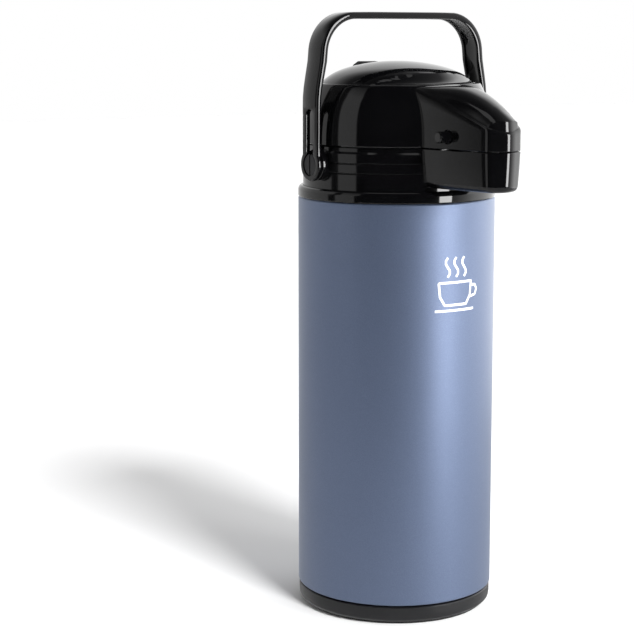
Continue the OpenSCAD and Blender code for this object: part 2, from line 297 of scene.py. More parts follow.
def boolean(obj, others, how="DIFFERENCE"):
    """Cuts or joins other objects, which are then removed."""
    for o in others:
        m = obj.modifiers.new("cut", "BOOLEAN")
        m.operation, m.object, m.solver = how, o, "EXACT"
    applied(obj)
    for o in others:
        bpy.data.objects.remove(o)
    return obj


def bevelled(obj, width, angle=30.0, segments=3, sharp=32.0):
    """Rounds the edges, width in millimetres."""
    m = obj.modifiers.new("edge", "BEVEL")
    m.width, m.segments = width * 0.001, segments
    m.limit_method, m.angle_limit = "ANGLE", math.radians(angle)
    applied(obj)
    shade(obj, sharp)
    return obj


def fillets(points, closed=True, steps=6):
    """Points (a, b[, radius]) as a list of (a, b), with corners rounded."""
    out, count = [], len(points)
    for i, p in enumerate(points):
        here, r = Vector(p[:2]), p[2] if len(p) > 2 else 0
        if not r or (not closed and i in (0, count - 1)):
            out.append(tuple(here))
            continue
        a = Vector(points[i - 1][:2]) - here
        b = Vector(points[(i + 1) % count][:2]) - here
        reach_a, reach_b = a.length, b.length
        a, b = a.normalized(), b.normalized()
        half = math.acos(max(-1, min(1, a.dot(b)))) / 2
        reach = min(r / math.tan(half), reach_a * 0.49, reach_b * 0.49)
        r = reach * math.tan(half)
        centre = here + (a + b).normalized() * (r / math.sin(half))
        start, end = here + a * reach - centre, here + b * reach - centre
        turn = start.angle_signed(end)
        for k in range(steps + 1):
            t = -turn * k / steps
            c, s = math.cos(t), math.sin(t)
            out.append((centre.x + start.x * c - start.y * s,
                        centre.y + start.x * s + start.y * c))
    return out


def lathe_mesh(profile, segments, closed=True):
    """Turns a profile of (radius, height) round Z."""
    bm = bmesh.new()
    rings = []
    for r, z in profile:
        if r < 1e-6:
            rings.append([bm.verts.new((0, 0, z))] * segments)
        else:
            rings.append([bm.verts.new((r * math.cos(t), r * math.sin(t), z))
                          for t in (2 * math.pi * k / segments
                                    for k in range(segments))])
    pairs = list(zip(rings, rings[1:] + rings[:1] if closed else rings[1:]))
    for a, b in pairs:
        for k in range(segments):
            n = (k + 1) % segments
            corners = []
            for v in (a[k], a[n], b[n], b[k]):
                if v not in corners:
                    corners.append(v)
            if len(corners) > 2:
                bm.faces.new(corners)
    return bm


def lathe(name, profile, mat, body):
    """A large turned piece from a profile of (radius, height[, fillet])."""
    return finished(name, lathe_mesh(fillets(profile), FINE), mat, body)


def block(name, lo, hi, body=None, mat=None):
    """A box between two corners."""
    bm = bmesh.new()
    bmesh.ops.create_cube(bm, size=1)
    size = [b - a for a, b in zip(lo, hi)]
    middle = [(a + b) / 2 for a, b in zip(lo, hi)]
    bmesh.ops.scale(bm, vec=size, verts=bm.verts)
    bmesh.ops.translate(bm, vec=middle, verts=bm.verts)
    return finished(name, bm, mat or INNER, body)


def rod(name, r, start, end, axis, body=None, mat=None, at=(0, 0), segments=48):
    """A cylinder along X or Z. at gives its other two coordinates."""
    bm = bmesh.new()
    bmesh.ops.create_cone(bm, cap_ends=True, segments=segments, radius1=r,
                          radius2=r, depth=abs(end - start))
    turn = {"X": Matrix.Rotation(math.pi / 2, 4, "Y"), "Z": Matrix()}[axis]
    bmesh.ops.transform(bm, matrix=turn, verts=bm.verts)
    middle = (start + end) / 2
    place = {"X": (middle, *at), "Z": (*at, middle)}[axis]
    bmesh.ops.translate(bm, vec=place, verts=bm.verts)
    return finished(name, bm, mat or INNER, body)


def sideways(bm, s, at):
    """Turns a mesh made along Z to point along s times X, and moves it."""
    bmesh.ops.transform(bm, matrix=Matrix.Rotation(s * math.pi / 2, 4, "Y"),
                        verts=bm.verts)
    bmesh.ops.translate(bm, vec=at, verts=bm.verts)


def loft(rings, cap_start=True, cap_end=True):
    """Joins rings of points with quads."""
    bm = bmesh.new()
    made = [[bm.verts.new(p) for p in ring] for ring in rings]
    for a, b in zip(made, made[1:]):
        for k in range(len(a)):
            n = (k + 1) % len(a)
            bm.faces.new((a[k], a[n], b[n], b[k]))
    if cap_start:
        bm.faces.new(made[0])
    if cap_end:
        bm.faces.new(made[-1])
    return bm


def softened(node, name, mat, width):
    """A copy of a CAD node with its edges rounded, standing for the node."""
    source = NODES[node]
    bm = bmesh.new()
    bm.from_mesh(source.data)
    bmesh.ops.remove_doubles(bm, verts=bm.verts, dist=1e-6)
    bmesh.ops.dissolve_limit(bm, angle_limit=math.radians(0.6), verts=bm.verts,
                             edges=bm.edges)
    bmesh.ops.scale(bm, vec=(1000,) * 3, verts=bm.verts)
    obj = finished(name, bm, mat, body_of(source)[0])
    bevelled(obj, width, segments=2)
    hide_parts(node)
    return obj


def join(name, parts, node_names):
    """Joins riding objects into the first one, which stands for CAD nodes."""
    first = parts[0]
    bm = bmesh.new()
    mats = []
    for p in parts:
        for m in p.data.materials:
            if m not in mats:
                mats.append(m)
    for p in parts:
        piece = bmesh.new()
        piece.from_mesh(p.data)
        index = mats.index(p.data.materials[0])
        for f in piece.faces:
            f.material_index = index
        mesh = bpy.data.meshes.new("part")
        piece.to_mesh(mesh)
        piece.free()
        bm.from_mesh(mesh)
        bpy.data.meshes.remove(mesh)
    bm.to_mesh(first.data)
    bm.free()
    first.data.materials.clear()
    for m in mats:
        first.data.materials.append(m)
    for p in parts[1:]:
        bpy.data.objects.remove(p)
    first.name = name
    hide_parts(*node_names)
    return first


# ---------------------------------------------------------------- curves

def between(table, x):
    """Smooth value from a table of (x, value) with rising x."""
    if x <= table[0][0]:
        return table[0][1]
    if x >= table[-1][0]:
        return table[-1][1]
    for i in range(len(table) - 1):
        x0, y0 = table[i]
        x1, y1 = table[i + 1]
        if x <= x1:
            before = table[i - 1] if i else table[i]
            after = table[i + 2] if i + 2 < len(table) else table[i + 1]
            m0 = (y1 - before[1]) / (x1 - before[0])
            m1 = (after[1] - y0) / (after[0] - x0)
            h, t = x1 - x0, (x - x0) / (x1 - x0)
            return ((2 * t ** 3 - 3 * t ** 2 + 1) * y0 + (t ** 3 - 2 * t ** 2 + t) * h * m0
                    + (3 * t ** 2 - 2 * t ** 3) * y1 + (t ** 3 - t ** 2) * h * m1)


# Heights of the hood's edge and ridge at distances in front of the axis.
CREASE = [(40, 349.6), (51.4, 346.4), (68.8, 340.5), (81.6, 335.9), (94.2, 331.0),
          (103, 327.5), (111.6, 323.8), (118, 320.9)]
RIDGE = [(40, 348.2), (52, 348.4), (60, 348.6), (68, 348.2), (76, 346.8), (84, 344.3),
         (93, 340.7), (102, 336.2), (108, 332.6), (112, 329.8), (115, 327.2),
         (117, 324.4), (118, 321.4)]


def beak_w(y):
    """Half width of the spout at a distance in front of the axis."""
    return 22.5 - (y - 57.8) * 0.175


def beak_plan(inset, start=HOOD_START):
    """Points (x, forward) round the spout's plan, from the right rear to the left."""
    corner, tip = beak_w(112) - inset, NOSE_Y - inset * 1.05
    side = beak_w(start) - inset
    raw = [(side, start), (corner, 112 - inset * 0.55, 6.5 - inset * 0.6), (0, tip, 10.0),
           (-corner, 112 - inset * 0.55, 6.5 - inset * 0.6), (-side, start)]
    bent = fillets(raw, closed=False, steps=7)
    counts = {0: 22, 8: 4, 16: 4, 24: 22}
    out = [bent[0]]
    for i, (a, b) in enumerate(zip(bent, bent[1:])):
        a, b, n = Vector(a), Vector(b), counts.get(i, 1)
        out += [tuple(a + (b - a) * k / n) for k in range(1, n + 1)]
    return out


def crease_at(y):
    """Height of the edge between the hood's side and top."""
    return between(CREASE, y)


def hood_top(x, y, edge_y):
    """Height of the hood's crowned top; edge_y is where its ring started."""
    low = min(crease_at(y), crease_at(edge_y))
    across = min(1.0, abs(x) / max(1.0, beak_w(y) - 2))
    return low + (between(RIDGE, y) - low) * (1 - across ** 2.2) ** 0.6


def dome_at(r):
    """Height of the dome at a radius: nearly spherical, falling off at the rim."""
    return DOME_Z - 0.004 * r * r - (r / 41.6) ** 8


# ---------------------------------------------------------------- vessel

def make_shell():
    """The lacquered steel wall, hemmed at both ends."""
    shell = lathe("shell_wall", [
        (61.9, 13.0, 0.4), (BODY_R, 13.0, 1.1), (BODY_R, 140), (BODY_R, 272.6),
        (BODY_R, SHELL_TOP - 0.9, 0.5), (BODY_R - 0.7, SHELL_TOP, 0.3),
        (BODY_R - 1, SHELL_TOP), (BODY_R - 1, 14.0, 0.2), (61.9, 14.0)],
        BLUE, "vessel")
    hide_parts("outer_shell")


def make_collar():
    """The rounded ring that closes the top of the wall."""
    collar = lathe("collar", [
        (HEAD_R + 0.1, SHELL_TOP + 0.25), (COLLAR_R - 0.35, SHELL_TOP + 0.25, 0.3),
        (COLLAR_R, SHELL_TOP + 0.8, 0.4), (COLLAR_R, SHELL_TOP + 4.9, 1.4),
        (COLLAR_R - 1.0, SHELL_TOP + 7.0, 2.2), (HEAD_R + 0.9, SHELL_TOP + 7.7, 0.7),
        (HEAD_R + 0.1, SHELL_TOP + 7.2, 0.2)], BLACK, "vessel")
    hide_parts("collar_ring")


def groove(z, depth=0.75, half=0.55):
    """Profile points of a rounded groove in the shoulder wall, going up."""
    return [(HEAD_R, z - half, 0.25), (HEAD_R - depth, z - 0.12, 0.25),
            (HEAD_R - depth, z + 0.12, 0.25), (HEAD_R, z + half, 0.25)]


def make_shoulder():
    """The grooved neck housing, with the bail's pads and the hinge ears."""
    inner = HEAD_R - 2.5
    wall = lathe("shoulder_wall", [
        (inner, SHELL_TOP), (HEAD_R, SHELL_TOP), *groove(292.3), *groove(298.6),
        (HEAD_R, 304.8, 0.35), (HEAD_R - 1.2, 306.2, 0.3),
        (HEAD_R - 1.2, PART_Z - PART_GAP, 0.3), (inner, PART_Z - PART_GAP, 0.3),
        (inner, 294.5, 0.8), (33, 294.5, 0.4), (33, 292, 0.4), (inner, 292)],
        BLACK, "vessel")
    parts = [wall]
    for s in (-1, 1):
        pad = rod("pad", PAD_R, s * PAD_FOOT, s * COLLAR_R, "X", "vessel", BLACK,
                  (0, PIVOT_Z), 96)
        bore = rod("bore", PIN_R + 0.02, s * 50, s * 80, "X", at=(0, PIVOT_Z), segments=96)
        parts.append(bevelled(boolean(pad, [bore]), 0.5))
        lo, hi = sorted((s * 12.4, s * 22))
        ear = block("ear", (lo, 61.2, 303), (hi, 69.1, HINGE_Z), "vessel", BLACK)
        round_top = rod("round_top", EAR_R, lo, hi, "X", at=(HINGE_Y, HINGE_Z),
                        segments=SMALL)
        web = block("web", (lo, 58.2, 303), (hi, 62.4, PART_Z - PART_GAP - 0.2))
        boolean(ear, [round_top, web], "UNION")
        hole = rod("hole", EAR_BORE_R, -40, 40, "X", at=(HINGE_Y, HINGE_Z), segments=32)
        parts.append(bevelled(boolean(ear, [hole]), 0.45))
    whole = join("shoulder_housing", parts, ["shoulder"])
    shade(whole)


def make_tray():
    """The fixed lower half of the spout, open on top."""
    top, bottom, soft = PART_Z - PART_GAP, TRAY_BOTTOM, 4.2
    rings = []
    heights = [(top, 0.25), (top - 0.35, 0.0), (top - 8, 0.35), (bottom + soft, 1.1)]
    heights += [(bottom + soft - soft * math.sin(t), 1.1 + soft * (1 - math.cos(t)))
                for t in (math.pi / 2 * k / 7 for k in range(1, 8))]
    for z, inset in heights:
        rings.append([(x, -y, z) for x, y in beak_plan(inset, TRAY_START)])
    bm = loft(rings, cap_start=False)
    tray = finished("spout_tray", bm, BLACK, "vessel")
    solid = tray.modifiers.new("wall", "SOLIDIFY")
    solid.thickness, solid.offset = 0.0021, -1
    applied(tray)
    core = rod("core", HEAD_R + 0.02, 270, 330, "Z", segments=FINE)
    hole = rod("hole", 8.0, 270, 300, "Z", at=(0, -NOZZLE_Y - 0.5), segments=SMALL)
    boolean(tray, [core, hole])
    shade(tray)
    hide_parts("beak_tray")


def make_emblem():
    """A small printed coffee cup with three wisps of steam on the front."""
    strokes = []
    cup = [(-13, 2), (-12, -7), (-8.5, -12.5), (8.5, -12.5), (12, -7), (13, 2), (-13, 2)]
    strokes.append(cup)
    strokes.append([(12.6, -0.5), (17, -0.8), (18.6, -3.6), (17, -7.2), (11.9, -8)])
    strokes.append([(-15.5, -16), (15.5, -16)])
    for x in (-6.5, 0, 6.5):
        strokes.append([(x + 1.7 * math.sin(t / 3 * math.pi), 5.5 + t * 2.1)
                        for t in range(7)])
    bm = bmesh.new()
    for line in strokes:
        smooth = []
        for a, b in zip(line, line[1:]):
            n = max(2, int((Vector(b) - Vector(a)).length / 0.8))
            smooth += [Vector(a).lerp(Vector(b), k / n) for k in range(n)]
        smooth.append(Vector(line[-1]))
        ribbon(bm, smooth, 0.75)
    emblem = finished("cup_emblem", bm, PRINT, "vessel")


def ribbon(bm, path, half):
    """A flat printed stroke on the front of the shell, 0.08 mm proud."""
    rows = []
    for i, p in enumerate(path):
        along = (path[min(i + 1, len(path) - 1)] - path[max(i - 1, 0)]).normalized()
        side = Vector((-along.y, along.x)) * half
        row = []
        for q in (p + side, p - side):
            a = q.x / BODY_R
            for r in (BODY_R - 0.05, BODY_R + 0.08):
                row.append(bm.verts.new((r * math.sin(a), -r * math.cos(a),
                                         EMBLEM_Z + q.y)))
        rows.append(row)
    for a, b in zip(rows, rows[1:]):
        for i, j in ((0, 1), (1, 3), (3, 2), (2, 0)):
            bm.faces.new((a[i], a[j], b[j], b[i]))
    for row in (rows[0], rows[-1]):
        bm.faces.new((row[0], row[1], row[3], row[2]))


# ---------------------------------------------------------------- lid

# The barrel's outline as (radius, height).
BARREL = [(62.0, 309.3), (61.95, 315), (61.7, 321), (61.2, 327), (60.2, 333),
          (58.8, 338.3), (57.1, 342.8), (55.5, 346.3), (54.9, 347.4)]


def barrel_r(z):
    """Radius of the barrel at a height."""
    return between([(b, a) for a, b in BARREL], z)


def make_barrel():
    """The lid's bell-shaped barrel, with the hinge knuckle."""
    count = 30
    heights = [309.9 + (347.4 - 309.9) * k / count for k in range(count + 1)]
    outer = [(barrel_r(z), z) for z in heights]
    barrel = lathe("lid_barrel", [
        (59.8, 309.3), (61.6, 309.3, 0.2), *outer, (54.3, 348.1, 0.4),
        (51.7, 348.3, 0.35), (MOUTH_R, 347.6, 0.2), (MOUTH_R, 338), (55.2, 336),
        (58.2, 328), (59.6, 320)], BLACK, "lid")
    slot_cut = block("slot_cut", (-6, -70, 305), (6, -55, 318.7))
    boolean(barrel, [slot_cut])
    shade(barrel)
    knuckle = rod("knuckle", EAR_R, -KNUCKLE_HALF, KNUCKLE_HALF, "X", "lid", BLACK,
                  (HINGE_Y, HINGE_Z), SMALL)
    web = block("web", (-KNUCKLE_HALF, 61.2, PART_Z + 0.4),
                (KNUCKLE_HALF, HINGE_Y, PART_Z + 5.4))
    boolean(knuckle, [web], "UNION")
    bore = rod("bore", KNUCKLE_BORE_R, -30, 30, "X", at=(HINGE_Y, HINGE_Z), segments=32)
    bevelled(boolean(knuckle, [bore]), 0.4)
    whole = join("lid_barrel_shell", [barrel, knuckle], ["lid_shell"])


def hood_rings(wall):
    """Rings from the parting line up the walls and over the crowned top."""
    base_z, soft, count = PART_Z + PART_GAP, 2.2, 18
    side = beak_plan(wall)
    rings = [[(x, -y, base_z) for x, y in (side if wall else beak_plan(0.25))],
             [(x, -y, base_z + 0.35) for x, y in side]]
    for part in (0.3, 0.6, 0.85, 1.0):
        rings.append([(x, -y, base_z + 0.35 + (crease_at(y) - wall - soft - base_z - 0.35)
                       * part) for x, y in side])
    for k in range(1, 6):
        t = math.pi / 2 * k / 6
        inset = wall + soft * (1 - math.cos(t)) * 0.9
        rings.append([(x, -y, crease_at(yo) - wall - soft + soft * math.sin(t))
                      for (x, y), (_, yo) in zip(beak_plan(inset), side)])
    rim = beak_plan(wall + soft * 0.9)
    for k in range(count + 1):
        t = 1 - (1 - k / count) ** 1.5
        ring = []
        for (x, y), (_, yo) in zip(rim, side):
            px, py = x * (1 - t), y + (min(y, 102.0) - y) * t
            ring.append((px, -py, hood_top(px, py, yo) - wall))
        rings.append(ring)
    return rings


def make_hood():
    """The spout's upper half, a shell, and the wells round its buttons."""
    chain = hood_rings(0)[::-1] + hood_rings(2.0)
    hood = finished("hood_cover", loft(chain, False, False), BLACK_HOOD, "lid")
    trim = [(0, 300), (HEAD_R + 0.03, 300), (HEAD_R + 0.03, 309.3)]
    trim += [(a + 0.03, b) for a, b in BARREL] + [(54.4, 348.2), (53.2, 348.5),
                                                  (53.2, 370), (0, 370)]
    core = finished("core", lathe_mesh(trim, FINE), INNER, None)
    hole = rod("hole", BUTTON_HOLE_R, -40, 40, "X", at=(-BUTTON_Y, BUTTON_Z),
               segments=SMALL)
    boolean(hood, [core, hole])
    shade(hood, 28)
    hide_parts("spout_hood")
    for s in (-1, 1):
        w = beak_w(BUTTON_Y)
        bm = lathe_mesh(fillets([(4.62, 0), (4.62, 1.9), (4.15, 1.9), (4.15, 0)]), SMALL)
        sideways(bm, s, (s * (w - 2.7), -BUTTON_Y, BUTTON_Z))
        ring = finished("button_well_" + "lr"[s > 0], bm, DARK, "lid")


def make_dome():
    """The push dome: a crowned cap with a scooped facet towards the spout."""
    radii = [1.5 * k for k in range(1, 32)] + [47.4, 48.4, 49.3, 49.9, 50.3, 50.5]
    segments = 288
    bm = bmesh.new()
    spread = math.radians(53)

    def height(r, t):
        z = dome_at(r)
        off = abs(math.remainder(t + math.pi / 2, 2 * math.pi)) / spread
        if off < 1:
            edge = math.sqrt(1 - off * off)
            # The scoop reaches furthest in at its middle.
            start = 50.9 - 10 * edge
            if r > start:
                k = (r - start) / (DOME_R - start) if start < 50.5 else 0
                top = dome_at(start)
                line = top + (348.2 - top) * k
                z = min(z, line - 1.5 * edge * math.sin(math.pi * min(1, k)) ** 0.8)
        return z

    top = bm.verts.new((0, 0, DOME_Z))
    rings = []
    for r in radii:
        rings.append([bm.verts.new((r * math.cos(t), r * math.sin(t), height(r, t)))
                      for t in (2 * math.pi * k / segments for k in range(segments))])
    for r, z in ((DOME_R, 347.6), (DOME_R, 345.5), (DOME_R, 336.2), (DOME_R - 0.2, 336),
                 (DOME_R - 2, 336), (DOME_R - 2, 345), (44, 350.5), (30, 356.4),
                 (12, 359.8)):
        rings.append([bm.verts.new((r * math.cos(t), r * math.sin(t), z))
                      for t in (2 * math.pi * k / segments for k in range(segments))])
    under = bm.verts.new((0, 0, 360.3))
    for k in range(segments):
        n = (k + 1) % segments
        bm.faces.new((top, rings[0][k], rings[0][n]))
        bm.faces.new((under, rings[-1][n], rings[-1][k]))
        for a, b in zip(rings, rings[1:]):
            bm.faces.new((a[k], b[k], b[n], a[n]))
    dome = finished("dome_cap", bm, BLACK, "push_plate", 16)
    well = block("well", (-WELL_HALF, 26.3, 352.4), (WELL_HALF, 46.2, 380))
    bevelled(well, 1.2, 30, 3)
    boolean(dome, [well])
    shade(dome, 16)
    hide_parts("push_dome")


def make_lock():
    """The thumb tab at the back of the dome, in its dark well."""
    bm = bmesh.new()
    side = fillets([(29.6, 353.0), (29.6, 361.4, 1.4), (35.0, 361.9, 2.5),
                    (40.5, 359.4, 2.5), (45.6, 354.6, 0.8), (45.2, 353.0)], steps=5)
    left = [bm.verts.new((-TAB_HALF, y, z)) for y, z in side]
    right = [bm.verts.new((TAB_HALF, y, z)) for y, z in side]
    bm.faces.new(left)
    bm.faces.new(right[::-1])
    for k in range(len(side)):
        n = (k + 1) % len(side)
        bm.faces.new((left[k], right[k], right[n], left[n]))
    tab = finished("lock_tab", bm, DARK, "lock")
    bevelled(tab, 0.5, 40, 3)
    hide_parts("lock_slide")


def make_button(s, side):
    """A gloss black pin on the spout's side, with a chamfered end."""
    profile = fillets([(0, 7.2), (2.5, 7.2, 0.2), (2.5, 13), (3.6, 13, 0.3),
                       (3.6, 26.1, 0.3), (3.0, 26.8, 0.3), (0, 26.8)])
    bm = lathe_mesh(profile, SMALL, closed=False)
    sideways(bm, s, (0, -BUTTON_Y, BUTTON_Z))
    pin = finished("pin_" + side, bm, BLACK, "button_" + side)
    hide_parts("release_button_" + side)


# ---------------------------------------------------------------- handle

def strap_line():
    """Outer line (x, z) of half the strap, from the pivot up to the middle."""
    cx, cz, r = STRAP_X - 30.5, HANDLE_TOP - 26.4, 26.3
    outer = [(STRAP_X, PIVOT_Z), (STRAP_X, 318), (STRAP_X, 334), (STRAP_X - 0.1, 340),
             (STRAP_X - 0.7, 346), (STRAP_X - 1.7, 352), (STRAP_X - 2.8, 358),
             (STRAP_X - 3.7, 363)]
    outer += [(cx + r * math.cos(math.radians(a)), cz + r * math.sin(math.radians(a)))
              for a in range(7, 86, 6)]
    outer += [(35, 393.9), (26, HANDLE_TOP), (16, HANDLE_TOP), (8, HANDLE_TOP),
              (0, HANDLE_TOP)]
    return outer


def strap_thickness(z):
    """The strap thickens upwards into the grip."""
    return STRAP_T + (GRIP_T - STRAP_T) * min(1, max(0, (z - 338) / 26))


def make_handle():
    """The bail: a chamfered strap lofted along its line, with slotted ends."""
    outer = strap_line()
    full = outer + [(-x, z) for x, z in outer[-2::-1]]
    half, chamfer = STRAP_W / 2, 1.1
    rings = []
    for i, (x, z) in enumerate(full):
        a, b = full[max(i - 1, 0)], full[min(i + 1, len(full) - 1)]
        along = Vector((b[0] - a[0], b[1] - a[1])).normalized()
        inward = Vector((-along.y, along.x))
        t = strap_thickness(z)
        if z < 341:
            depth = 0.0
        else:
            depth = 1.1 * min(1, (z - 341) / 5)
        section = [(-half, chamfer), (-half + chamfer * 0.35, chamfer * 0.35),
                   (-half + chamfer, 0), (half - chamfer, 0),
                   (half - chamfer * 0.35, chamfer * 0.35), (half, chamfer),
                   (half, t - 0.6), (half - 0.2, t - 0.15), (half - 0.7, t),
                   (5.9, t), (5.5, t - depth * 0.5), (5.2, t - depth),
                   (-5.2, t - depth), (-5.5, t - depth * 0.5), (-5.9, t),
                   (-half + 0.7, t), (-half + 0.2, t - 0.15), (-half, t - 0.6)]
        rings.append([(x + inward.x * d, y, z + inward.y * d) for y, d in section])
    handle = finished("bail_handle", loft(rings), BLACK, "handle", 30)
    cuts, ends = [], []
    for s in (-1, 1):
        lo, hi = sorted((s * (STRAP_X - STRAP_T), s * STRAP_X))
        end = rod("end", 10.5, lo, hi, "X", at=(0, PIVOT_Z), segments=128)
        ends.append(bevelled(end, 0.9, 30, 4))
        cuts.append(rod("bore", PIN_R + 0.08, s * 60, s * 80, "X", at=(0, PIVOT_Z),
                        segments=96))
        cuts.append(rod("step", 7.3, s * (STRAP_X - 1.3), s * 80, "X", at=(0, PIVOT_Z),
                        segments=96))
        lo, hi = sorted((s * 60, s * 80))
        cuts.append(block("slot", (lo, -SLOT_HALF, PIVOT_Z + PIN_R),
                          (hi, SLOT_HALF, SLOT_TOP)))
        cuts.append(rod("slot_top", SLOT_HALF, lo, hi, "X", at=(0, SLOT_TOP),
                        segments=SMALL))
    boolean(handle, ends, "UNION")
    boolean(handle, cuts)
    bevelled(handle, 0.3, 50, 2, 30)
    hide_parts("carry_handle")


def make_pivots():
    """The slit snap pins that carry the bail."""
    for s, side in ((-1, "left"), (1, "right")):
        profile = fillets([(0, 54.6), (8.1, 54.6, 0.3), (8.1, 56), (PIN_R, 56),
                           (PIN_R, 68.0), (6.9, 68.0, 0.2), (6.9, 68.3, 0.2),
                           (6.1, 68.7, 0.3), (0, 68.7)])
        bm = lathe_mesh(profile, 96, closed=False)
        sideways(bm, s, (0, 0, PIVOT_Z))
        pin = finished("snap_pin_" + side, bm, INNER, "vessel")
        lo, hi = sorted((s * 65, s * 75))
        slit = block("slit", (lo, -0.7, PIVOT_Z - 10), (hi, 0.7, PIVOT_Z + 10))
        boolean(pin, [slit])
        shade(pin)
        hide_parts("pivot_pin_" + side)


# ---------------------------------------------------------------- base

def make_base():
    """The turning base ring and its rubber foot."""
    ring = lathe("base_ring", [
        (5.1, 6.2), (54, 6.2), (54, 1.6), (60.2, 1.6, 0.3), (62.6, 1.9, 1.2),
        (64.2, 3.6, 1.8), (64.5, 6.5, 1.2), (64.5, 11.5, 0.5), (64.0, BASE_TOP, 0.3),
        (55, BASE_TOP), (55, 8.2), (9, 8.2), (9, 11.8), (5.1, 11.8)],
        BASE_BLACK, "base")
    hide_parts("swivel_base")
    foot = lathe("foot_ring", [
        (54.6, 1.6), (54.6, 0.5, 0.4), (55.2, 0, 0.3), (60.4, 0, 0.3), (61, 0.5, 0.4),
        (61, 1.6)], RUBBER, "base")
    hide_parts("foot_pad")


# ---------------------------------------------------------------- inner parts

def make_springs():
    """Round-wire coil springs in place of the CAD ribbons."""
    coil("pump_coil", (0, 0, 321.0), "Z", "push_plate", "pump_spring",
         r=12, wire=0.8, length=30.1, turns=6)
    for s, side in ((-1, "left"), (1, "right")):
        coil("button_coil_" + side, (s * 8.5, -BUTTON_Y, BUTTON_Z), "-+"[s > 0] + "X",
             "lid", "button_spring_" + side, r=3.1, wire=0.3, length=4.0, turns=4)


def coil(name, start, axis, body, node, r, wire, length, turns):
    """A coil of round wire along an axis, standing for a CAD node."""
    rings, steps = [], turns * STEPS_PER_TURN
    for i in range(steps + 1):
        part = i / steps
        a = 2 * math.pi * turns * part
        centre = Vector((r * math.cos(a), r * math.sin(a), length * part))
        out = Vector((math.cos(a), math.sin(a), 0))
        ring = []
        for k in range(WIRE_SIDES):
            t = 2 * math.pi * k / WIRE_SIDES
            ring.append(centre + out * wire * math.cos(t)
                        + Vector((0, 0, wire * math.sin(t))))
        rings.append(ring)
    bm = loft(rings)
    turn = {"Z": Matrix(), "+X": Matrix.Rotation(math.pi / 2, 4, "Y"),
            "-X": Matrix.Rotation(-math.pi / 2, 4, "Y")}[axis]
    bmesh.ops.transform(bm, matrix=turn, verts=bm.verts)
    bmesh.ops.translate(bm, vec=start, verts=bm.verts)
    obj = finished(name, bm, WIRE, body)
    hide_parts(node)


# Inner nodes and their materials, and the edge radii of those that are rounded.
INSIDE = {
    "liner_outer": LINER, "liner_inner": LINER, "riser_tube": LINER,
    "liner_cushion": RUBBER, "neck_ring": INNER, "neck_gasket": SEAL,
    "bottom_cover": INNER, "swivel_screw": WIRE, "tube_head": NATURAL,
    "hinge_pin": WIRE, "lid_base": INNER, "stopper": INNER, "stopper_gasket": SEAL,
    "pump_plate": INNER, "bellows": RUBBER, "air_valve": SEAL,
    "outlet_duct": NATURAL, "nozzle": INNER, "tube_seal": SEAL, "lid_screws": WIRE,
    "button_guide": INNER, "pusher_plate": INNER, "slip_ring": NATURAL,
}
ROUNDED = {"neck_ring": 0.6, "stopper": 0.5, "lid_base": 0.4, "nozzle": 0.5,
           "stopper_gasket": 0.4, "tube_head": 0.3, "outlet_duct": 0.3,
           "pusher_plate": 0.4, "bottom_cover": 0.3, "lid_screws": 0.25}


def make_inside():
    """Parts taken from the CAD nodes, some with their edges rounded."""
    for node, mat in INSIDE.items():
        if node in ROUNDED:
            piece = softened(node, node + "_part", mat, ROUNDED[node])
            continue
        obj = NODES[node]
        obj.data.materials.clear()
        obj.data.materials.append(mat)


# ---------------------------------------------------------------- stage

def make_floor():
    """A pale floor, with a nearer disc that only reflections see."""
    bm = bmesh.new()
    bmesh.ops.create_grid(bm, x_segments=1, y_segments=1, size=6000)
    floor = finished("floor", bm, floor_material(), None)
    floor.visible_glossy = False
    near = finished("near_floor", lathe_mesh([(0, -2), (800, -2)], 64, closed=False),
                    floor_material(), None)
    near.visible_camera = near.visible_diffuse = near.visible_shadow = False


def floor_material():
    """Near-white paper with the faintest mottling."""
    n = Nodes("pale_floor")
    tone = n.blend(n.noise(3, 2), (0.9, 0.9, 0.902), (0.92, 0.92, 0.922))
    return n.set(Base_Color=tone, Roughness=0.6, Specular_IOR_Level=0.2)


# Brightness round the object, by the angle to the right of the camera in degrees.
ROUND = [(-180, 1.0), (-150, 0.8), (-125, 0.62), (-88, 0.62), (-86.5, 0.05),
         (-77.5, 0.05), (-76, 0.66), (-52, 0.66), (-50.5, 0.012), (38, 0.012),
         (60, 0.25), (82, 1.0), (100, 1.9), (150, 2.0), (180, 1.0)]
# Ramps hold values up to 1, so both tables are divided by this and scaled back.
PEAK = 2.0
# Brightness by the sine of the elevation.
UP = [(0.0, 1.0), (0.55, 1.0), (0.76, 0.15), (1.0, 0.02)]
# Level directions from the pot, nearly towards the camera and to its right.
CAMERA_SIDE = Vector((-0.568, -0.823, 0))
RIGHT_SIDE = Vector((0.823, -0.568, 0))


def ramp_node(tree, stops, low, high, source):
    """A grey colour ramp over low..high of a value."""
    scale = tree.nodes.new("ShaderNodeMapRange")
    scale.inputs["From Min"].default_value = low
    scale.inputs["From Max"].default_value = high
    tree.links.new(source, scale.inputs["Value"])
    ramp = tree.nodes.new("ShaderNodeValToRGB")
    elements = ramp.color_ramp.elements
    while len(elements) < len(stops):
        elements.new(0.5)
    for e, (at, value) in zip(elements, stops):
        e.position = (at - low) / (high - low)
        e.color = (value / PEAK, value / PEAK, value / PEAK, 1)
    tree.links.new(scale.outputs["Result"], ramp.inputs["Fac"])
    return ramp.outputs["Color"]


def dot_node(tree, source, vector):
    """Dot product of a direction with a fixed vector."""
    n = tree.nodes.new("ShaderNodeVectorMath")
    n.operation = "DOT_PRODUCT"
    n.inputs[1].default_value = vector
    tree.links.new(source, n.inputs[0])
    return n.outputs["Value"]


